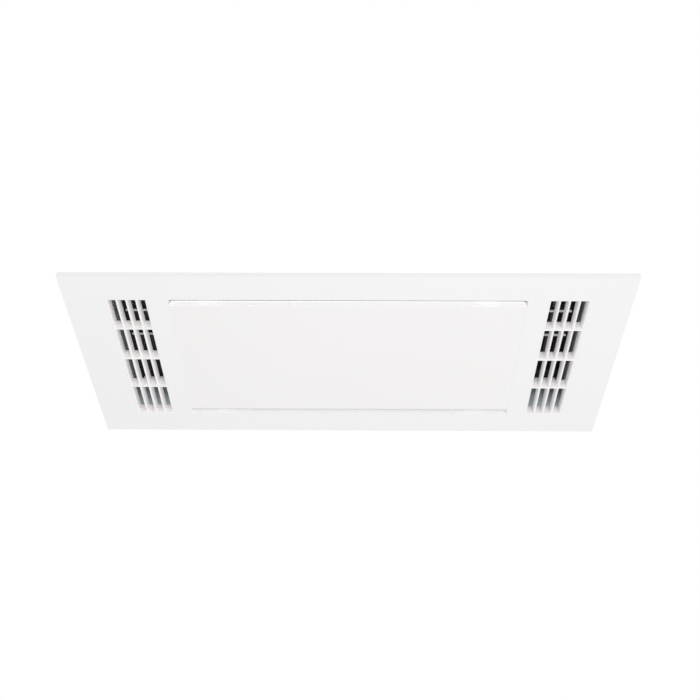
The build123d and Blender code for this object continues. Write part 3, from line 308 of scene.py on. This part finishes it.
# Fan motors on their rubber mounts
# Deep-drawn steel cans in black stove enamel with ground shafts, hung by their ears in rubber grommets.
enamel = Finish("motor_steel", Coat_Weight=0.25, Coat_Roughness=0.15)
orange_peel = enamel.noise(0.0022, 1.0)
drawn = enamel.noise(0.02, 3.0, enamel.stretched((1.0, 1.0, 0.2)))
bloom = enamel.noise(0.03, 2.0)
enamel.vary(
    Base_Color=enamel.between(bloom * 0.6 + drawn * 0.3, (0.020, 0.021, 0.023), (0.050, 0.052, 0.056)),
    Roughness=0.28 + bloom * 0.12 + drawn * 0.08,
)
enamel.relief(orange_peel, 0.00003)
enamel.on("extractor_motor", "heater_motor")

ground = Finish("shaft_steel", metallic=1.0)
grinding = ground.noise(0.0008, 3.0, ground.stretched((0.5, 0.5, 3.0)))
oil = ground.noise(0.012, 2.0)
ground.vary(
    Base_Color=ground.between(grinding * 0.6 + oil * 0.3, (0.46, 0.46, 0.47), (0.72, 0.72, 0.73)),
    Roughness=0.16 + grinding * 0.14 + oil * 0.10,
)
ground.relief(grinding, 0.000006)
ground.on("extractor_shaft", "heater_shaft")

rubber = Finish("grommet_rubber", Specular_IOR_Level=0.3)
pores = rubber.noise(0.0005, 3.0)
chalk = rubber.noise(0.006, 3.0)
rubber.vary(
    Base_Color=rubber.between(chalk, (0.016, 0.016, 0.016), (0.045, 0.044, 0.043)),
    Roughness=0.72 + pores * 0.16,
)
rubber.relief(pores, 0.00005)
rubber.on("motor_grommets")
zinc.on("motor_screws")

# Fan wheels
# Centrifugal wheels moulded in dark grey plastic, with fine flow lines along their blades.
wheel = Finish("wheel_plastic")
blade_flow = wheel.noise(0.008, 3.0, wheel.stretched((1.0, 1.0, 0.15)))
grain = wheel.noise(0.0005, 2.0)
lint = wheel.step(wheel.noise(0.012, 4.0), 0.55, 0.80)
wheel.vary(
    Base_Color=wheel.between(blade_flow * 0.5 + lint * 0.4, (0.034, 0.035, 0.038), (0.080, 0.081, 0.084)),
    Roughness=0.36 + grain * 0.12 + lint * 0.20,
)
wheel.relief(grain + blade_flow * 0.5, 0.00002)
wheel.on("extractor_wheel", "heater_wheel")

# Heater: duct, element, tabs and thermal cut-out
# A folded duct turns the warm air down over a fin element that heat has dulled.
# The cut-out is a tinned can riveted to the duct's wall, and the element's tabs are brass.
galvanised.on("heater_duct", "intake_baffle")

fins = Finish("element_aluminium", metallic=1.0)
heat_tint = fins.noise(0.03, 3.0)
fin_grain = fins.noise(0.0012, 3.0, fins.stretched((1.0, 0.3, 1.0)))
fins.vary(
    Base_Color=fins.between(heat_tint, (0.12, 0.12, 0.125), (0.24, 0.225, 0.205)),
    Roughness=0.46 + fin_grain * 0.20 + heat_tint * 0.08,
)
fins.relief(fin_grain, 0.00002)
fins.on("heating_element")

brass = Finish("brass", metallic=1.0)
tarnish = brass.noise(0.004, 3.0)
turned = brass.noise(0.0005, 2.0, brass.stretched((0.3, 0.3, 3.0)))
brass.vary(
    Base_Color=brass.between(tarnish, (0.48, 0.34, 0.12), (0.80, 0.61, 0.28)),
    Roughness=0.20 + tarnish * 0.16 + turned * 0.12,
)
brass.relief(turned, 0.000010)
brass.on("terminal_tabs")

tinned = Finish("cutout_case", metallic=1.0)
dip = tinned.noise(0.004, 3.0)
tinned.vary(
    Base_Color=tinned.between(dip, (0.50, 0.48, 0.44), (0.72, 0.70, 0.66)),
    Roughness=0.26 + dip * 0.20,
)
tinned.relief(tinned.noise(0.0015, 2.0), 0.00002)
tinned.on("thermal_cutout")

# Guard bars
# Steel strips set on edge over both air paths: the rods along their lower edges are powder coated white,
# and the strips above them are coloured near black.
strip_start = 0.0186
strip_full = 0.0192
guard = Finish("guard_bar_coat", Specular_IOR_Level=0.35)
peel = guard.noise(0.0012, 2.0)
strip = guard.step(guard.along("Z"), strip_start, strip_full)
rod_color = guard.between(peel, (0.58, 0.60, 0.62), (0.70, 0.71, 0.72))
strip_color = guard.between(peel, (0.016, 0.023, 0.026), (0.030, 0.039, 0.044))
guard.vary(Base_Color=guard.between(strip, rod_color, strip_color), Roughness=0.36 + peel * 0.14)
guard.relief(peel, 0.00003)
guard.on("intake_guard_bars", "heater_guard_bars")

# Duct spigot and backdraft flap
# A black moulded outlet for the duct. Its aluminium flap hangs on a ground pin and falls shut.
black.on("duct_spigot")
zinc.on("spigot_screws")
ground.on("damper_pin")

flap = Finish("flap_aluminium", metallic=1.0)
mill_lines = flap.noise(0.0012, 3.0, flap.stretched((1.0, 0.06, 1.0)))
haze = flap.noise(0.02, 3.0)
flap.vary(
    Base_Color=flap.between(mill_lines * 0.6 + haze * 0.4, (0.60, 0.61, 0.62), (0.80, 0.81, 0.82)),
    Roughness=0.22 + mill_lines * 0.18 + haze * 0.08,
)
flap.relief(mill_lines, 0.000010)
flap.on("damper_flap")

# Electrical parts on the deck
# The lamp's driver and the fans' capacitors in pale mouldings, a terminal block in natural nylon,
# grey covers over the mains parts, and a green control board. The supply enters by a black gland.
pale_case = Finish("driver_case")
grain = pale_case.noise(0.0007, 3.0)
age = pale_case.noise(0.03, 2.0)
pale_case.vary(
    Base_Color=pale_case.between(age, (0.70, 0.69, 0.66), (0.82, 0.815, 0.80)),
    Roughness=0.42 + grain * 0.16,
)
pale_case.relief(grain, 0.00004)
pale_case.on("led_driver", "run_capacitors")

nylon = Finish("terminal_plastic")
grain = nylon.noise(0.0008, 2.0)
milky = nylon.noise(0.006, 2.0)
nylon.vary(
    Base_Color=nylon.between(milky, (0.68, 0.65, 0.56), (0.82, 0.80, 0.72)),
    Roughness=0.34 + grain * 0.14,
)
nylon.relief(grain, 0.00002)
nylon.on("terminal_block")

cover = Finish("cover_plastic")
grain = cover.noise(0.0007, 3.0)
flow = cover.noise(0.03, 2.0)
cover.vary(
    Base_Color=cover.between(flow, (0.085, 0.092, 0.100), (0.125, 0.132, 0.142)),
    Roughness=0.40 + grain * 0.18,
)
cover.relief(grain, 0.00004)
cover.on("terminal_cover", "control_cover")

board = Finish("board_green", Coat_Weight=0.5, Coat_Roughness=0.12)
weave = board.noise(0.0008, 2.0, board.stretched((1.0, 4.0, 1.0)))
copper_pour = board.step(board.cells(0.006), 0.42, 0.50)
board.vary(
    Base_Color=board.between(copper_pour * 0.7 + weave * 0.3, (0.010, 0.085, 0.035), (0.028, 0.165, 0.070)),
    Roughness=0.30 + weave * 0.14,
)
board.relief(copper_pour + weave * 0.2, 0.00003)
board.on("control_board")
black.on("cable_gland", "gland_nut")

# Ceiling clamps
# Swing-out arms of pale glass-filled nylon on brass bushes, drawn down by long zinc-plated screws.
# Their brackets are folded from galvanised sheet and welded to the housing.
galvanised.on("clamp_brackets")
zinc.on("clamp_screws")
clamp_numbers = range(1, 5)
brass.on(*[f"clamp_bush_{number}" for number in clamp_numbers])

filled_nylon = Finish("clamp_plastic")
grain = filled_nylon.noise(0.0007, 3.0)
glass = filled_nylon.noise(0.003, 4.0, filled_nylon.stretched((0.3, 1.0, 1.0)))
filled_nylon.vary(
    Base_Color=filled_nylon.between(glass, (0.62, 0.62, 0.60), (0.80, 0.80, 0.785)),
    Roughness=0.44 + grain * 0.14 + glass * 0.08,
)
filled_nylon.relief(grain + glass * 0.5, 0.00005)
filled_nylon.on(*[f"clamp_arm_{number}" for number in clamp_numbers])

# Face plate
# One satin white moulding with a very fine surface. The returns that stand in the light panel's slots
# are given a faint painted light on their walls, which brightens their shade.
slot_reach_x = 0.196
slot_reach_y = 0.100
slot_blur = 0.002
slot_painted_light = 0.10
slot_painted_light_color = (1.0, 0.99, 0.985)
plastic_low = (0.900, 0.892, 0.888)
plastic_high = (0.920, 0.912, 0.908)


def satin_white(name):
    """Satin white moulding."""
    made = Finish(name, Specular_IOR_Level=0.35, Emission_Strength=1.0)
    grain = made.noise(0.0005, 3.0)
    flow = made.noise(0.09, 2.0)
    made.vary(
        Base_Color=made.between(flow * 0.8 + grain * 0.2, plastic_low, plastic_high),
        Roughness=0.34 + grain * 0.10 + flow * 0.04,
    )
    made.relief(grain, 0.000012)
    return made


plate_white = satin_white("white_plastic")
end_wall, long_wall, _ = plate_white.walls()
in_slot_x = 1.0 - plate_white.step(abs(plate_white.along("X")), slot_reach_x, slot_reach_x + slot_blur)
in_slot_y = 1.0 - plate_white.step(abs(plate_white.along("Y")), slot_reach_y, slot_reach_y + slot_blur)
painted_light = in_slot_x * in_slot_y * (end_wall + long_wall) * slot_painted_light
plate_white.vary(Emission_Color=plate_white.between(painted_light, (0.0, 0.0, 0.0), slot_painted_light_color))
plate_white.on("face_plate")

# Grilles
# Egg-crate inserts of the same plastic. Their side walls, and their cross walls more weakly, are given a
# warm painted light that is strongest at the face and fades towards the dark inside.
rib_low = -0.006
rib_high = 0.0064
rib_painted_light = (0.255, 0.218, 0.210)
cross_wall_share = 0.20

rib_white = satin_white("grille_plastic")
side_wall, cross_wall, _ = rib_white.walls()
near_face = rib_white.step(rib_white.along("Z"), rib_high, rib_low)
painted_light = (side_wall + cross_wall * cross_wall_share) * near_face
rib_white.vary(Emission_Color=rib_white.between(painted_light, (0.0, 0.0, 0.0), rib_painted_light))
rib_white.on("grille_left", "grille_right")

# Light panel: tray, lamp strips, diffuser and its fixings
# A white powder-coated tray holds rows of lamps on white boards behind a lid of opal plastic.
# Galvanised straps hang it on the face plate, and leaf springs snap the whole face into the housing.
coat = Finish("white_powder_coat", Specular_IOR_Level=0.45)
peel = coat.noise(0.0012, 2.0)
cloud = coat.noise(0.05, 2.0)
coat.vary(
    Base_Color=coat.between(peel * 0.5 + cloud * 0.5, (0.82, 0.83, 0.84), (0.90, 0.90, 0.905)),
    Roughness=0.32 + peel * 0.14 + cloud * 0.06,
)
coat.relief(peel, 0.00004)
coat.on("light_tray")

board_white = Finish("led_board_white", metallic=0.1, Coat_Weight=0.3, Coat_Roughness=0.2)
track = board_white.step(board_white.noise(0.006, 1.0, board_white.stretched((0.2, 2.0, 1.0))), 0.52, 0.56)
grain = board_white.noise(0.0006, 2.0)
board_white.vary(
    Base_Color=board_white.between(track * 0.7 + grain * 0.3, (0.78, 0.78, 0.75), (0.87, 0.87, 0.85)),
    Roughness=0.32 + grain * 0.14,
)
board_white.relief(track, 0.00003)
board_white.on("led_strips")

phosphor = Finish("led_phosphor", Coat_Weight=0.6, Coat_Roughness=0.1)
powder = phosphor.noise(0.0005, 2.0)
batch = phosphor.noise(0.02, 1.0)
phosphor.vary(
    Base_Color=phosphor.between(powder * 0.5 + batch * 0.5, (0.80, 0.58, 0.12), (0.92, 0.78, 0.32)),
    Roughness=0.40 + powder * 0.16,
)
phosphor.relief(powder, 0.00002)
phosphor.on("led_packages")

# Painted light: the diffuser's side walls, its skirt, are given a glow that brightens their shade,
# strongest at their top edge.
skirt_low = -0.006
skirt_high = 0.002
skirt_painted_light_low = 0.21
skirt_painted_light_rise = 0.58
skirt_painted_light_color = (1.0, 0.995, 1.0)
level_from = 0.3
level_full = 0.9
opal = Finish("opal_plastic", Specular_IOR_Level=0.35, Emission_Strength=1.0)
grain = opal.noise(0.0005, 2.0)
haze = opal.noise(0.12, 2.0)
opal.vary(
    Base_Color=opal.between(haze * 0.8 + grain * 0.2, (0.902, 0.882, 0.864), (0.922, 0.902, 0.884)),
    Roughness=0.34 + grain * 0.10,
)
opal.relief(grain, 0.000010)
_, _, level_face = opal.walls()
skirt = 1.0 - opal.step(level_face, level_from, level_full)
rise = opal.step(opal.along("Z"), skirt_low, skirt_high)
painted_light = skirt * (skirt_painted_light_low + rise * rise * rise * rise * skirt_painted_light_rise)
opal.vary(Emission_Color=opal.between(painted_light, (0.0, 0.0, 0.0), skirt_painted_light_color))
opal.on("diffuser")

galvanised.on("light_straps")
zinc.on("face_screws")

spring = Finish("spring_steel", metallic=1.0)
brushed = spring.noise(0.0012, 3.0, spring.stretched((1.0, 1.0, 0.08)))
blueing = spring.noise(0.012, 2.0)
spring.vary(
    Base_Color=spring.between(brushed * 0.5 + blueing * 0.5, (0.36, 0.37, 0.40), (0.62, 0.62, 0.62)),
    Roughness=0.22 + brushed * 0.16 + blueing * 0.06,
)
spring.relief(brushed, 0.000010)
spring.on("spring_clips")

# Studio
# The photograph was taken from below the ceiling and in front of the unit, looking up.
# White studio all round, a large softbox behind the camera, weaker ones at the far side and both ends,
# one above for views from above, the white ceiling that the unit is let into, and a pale floor.
camera_place = (0.0151, -0.7558, -0.6741)
camera_turn = (132.179, -0.647, 0.424)
camera_lens_mm = 45.84
camera_sensor_mm = 36.0
camera_clip_start = 0.01
light_color = (0.992, 1.0, 1.016)
world_light = 0.685
front_power = 36.0
far_power = 3.2
right_power = 0.8
left_power = 0.3
top_power = 24.0
light_target = (0.0, 0.0, 0.03)
lamps = (
    ("front_softbox", (0.60, -2.17, -1.98), (1.5, 1.2), front_power),
    ("far_softbox", (0.1, 1.7, -1.6), (1.5, 1.0), far_power),
    ("right_softbox", (1.9, -0.3, -1.0), (1.2, 1.2), right_power),
    ("left_softbox", (-1.9, -0.3, -1.0), (1.2, 1.2), left_power),
    ("top_softbox", (0.9, 1.3, 2.2), (1.2, 1.2), top_power),
)

camera = bpy.data.objects.new("camera", bpy.data.cameras.new("camera"))
bpy.context.scene.collection.objects.link(camera)
bpy.context.scene.camera = camera
camera.data.sensor_width = camera_sensor_mm
camera.data.lens = camera_lens_mm
camera.data.clip_start = camera_clip_start
camera.location = camera_place
camera.rotation_euler = [math.radians(angle) for angle in camera_turn]
bpy.context.scene.view_settings.view_transform = "Standard"

studio = bpy.data.worlds.new("studio")
bpy.context.scene.world = studio
studio.use_nodes = True
seen = studio.node_tree.nodes["Background"]
seen.inputs["Color"].default_value = (1.0, 1.0, 1.0, 1.0)
seen.inputs["Strength"].default_value = 1.0
lighting = studio.node_tree.nodes.new("ShaderNodeBackground")
lighting.inputs["Color"].default_value = (*light_color, 1.0)
lighting.inputs["Strength"].default_value = world_light
by_ray = studio.node_tree.nodes.new("ShaderNodeMixShader")
ray = studio.node_tree.nodes.new("ShaderNodeLightPath")
world_output = studio.node_tree.nodes["World Output"]
studio.node_tree.links.new(ray.outputs["Is Camera Ray"], by_ray.inputs["Fac"])
studio.node_tree.links.new(lighting.outputs["Background"], by_ray.inputs[1])
studio.node_tree.links.new(seen.outputs["Background"], by_ray.inputs[2])
studio.node_tree.links.new(by_ray.outputs["Shader"], world_output.inputs["Surface"])

for name, place, size, power in lamps:
    lamp = bpy.data.objects.new(name, bpy.data.lights.new(name, "AREA"))
    bpy.context.scene.collection.objects.link(lamp)
    lamp.data.shape = "RECTANGLE"
    lamp.data.size, lamp.data.size_y = size
    lamp.data.energy = power
    lamp.data.color = light_color
    lamp.location = place
    lamp.rotation_euler = (Vector(light_target) - Vector(place)).to_track_quat("-Z", "Y").to_euler()
    lamp.visible_camera = False

ceiling_reach = 3.0
ceiling_opening = (0.536, 0.223)
floor_level = -2.4
floor_size = 40.0
floor_color = (0.76, 0.765, 0.77)
floor_fade_start = 3.4
floor_fade_end = 9.0


def level_sheet(name, size, level, border=0.0):
    """Rectangle, or a border round an opening. Only the camera sees it, so it changes no light."""
    shape = bmesh.new()
    made = bmesh.ops.create_grid(shape, x_segments=1, y_segments=1, size=0.5)
    outer = (size[0] + 2 * border, size[1] + 2 * border, 1.0)
    bmesh.ops.scale(shape, vec=outer, verts=made["verts"])
    bmesh.ops.translate(shape, vec=(0.0, 0.0, level), verts=made["verts"])
    if border:
        opening = list(shape.faces)
        edge = {"use_boundary": True, "use_even_offset": True}
        bmesh.ops.inset_region(shape, faces=opening, thickness=border, **edge)
        bmesh.ops.delete(shape, geom=opening, context="FACES")
    mesh = bpy.data.meshes.new(name)
    shape.to_mesh(mesh)
    shape.free()
    sheet = bpy.data.objects.new(name, mesh)
    bpy.context.scene.collection.objects.link(sheet)
    for kind in ("diffuse", "glossy", "transmission", "shadow", "volume_scatter"):
        setattr(sheet, "visible_" + kind, False)
    return sheet


def stage_finish(name, factor, first, second):
    """Finish of the stage that mixes two shaders."""
    made = Finish(name)
    ends = made.node("MixShader", {}, {0: factor(made), 1: first(made), 2: second(made)})
    made.tree.links.new(ends.socket, made.tree.nodes["Material Output"].inputs["Surface"])
    return made


def bright(made):
    return made.node("Emission", {}, {"Color": (1.0, 1.0, 1.0), "Strength": 1.0})


def clear(made):
    return made.node("BsdfTransparent")


def pale(made):
    return made.node("Emission", {}, {"Color": floor_color, "Strength": 1.0})


def back_side(made):
    """1 where the sheet is seen from below, 0 from above."""
    return made.node("NewGeometry", output="Backfacing")


def far_off(made):
    """0 near the part and 1 far from it, by distance from the scene's middle."""
    across = made.node("VectorMath", {"operation": "LENGTH"}, {0: made.place}, "Value")
    return made.step(across, floor_fade_start, floor_fade_end)


ceiling = level_sheet("ceiling", ceiling_opening, 0.0, ceiling_reach)
ceiling.data.materials.append(stage_finish("ceiling_white", back_side, clear, bright).material)
floor = level_sheet("floor", (floor_size, floor_size), floor_level)
floor.data.materials.append(stage_finish("pale_floor", far_off, pale, bright).material)
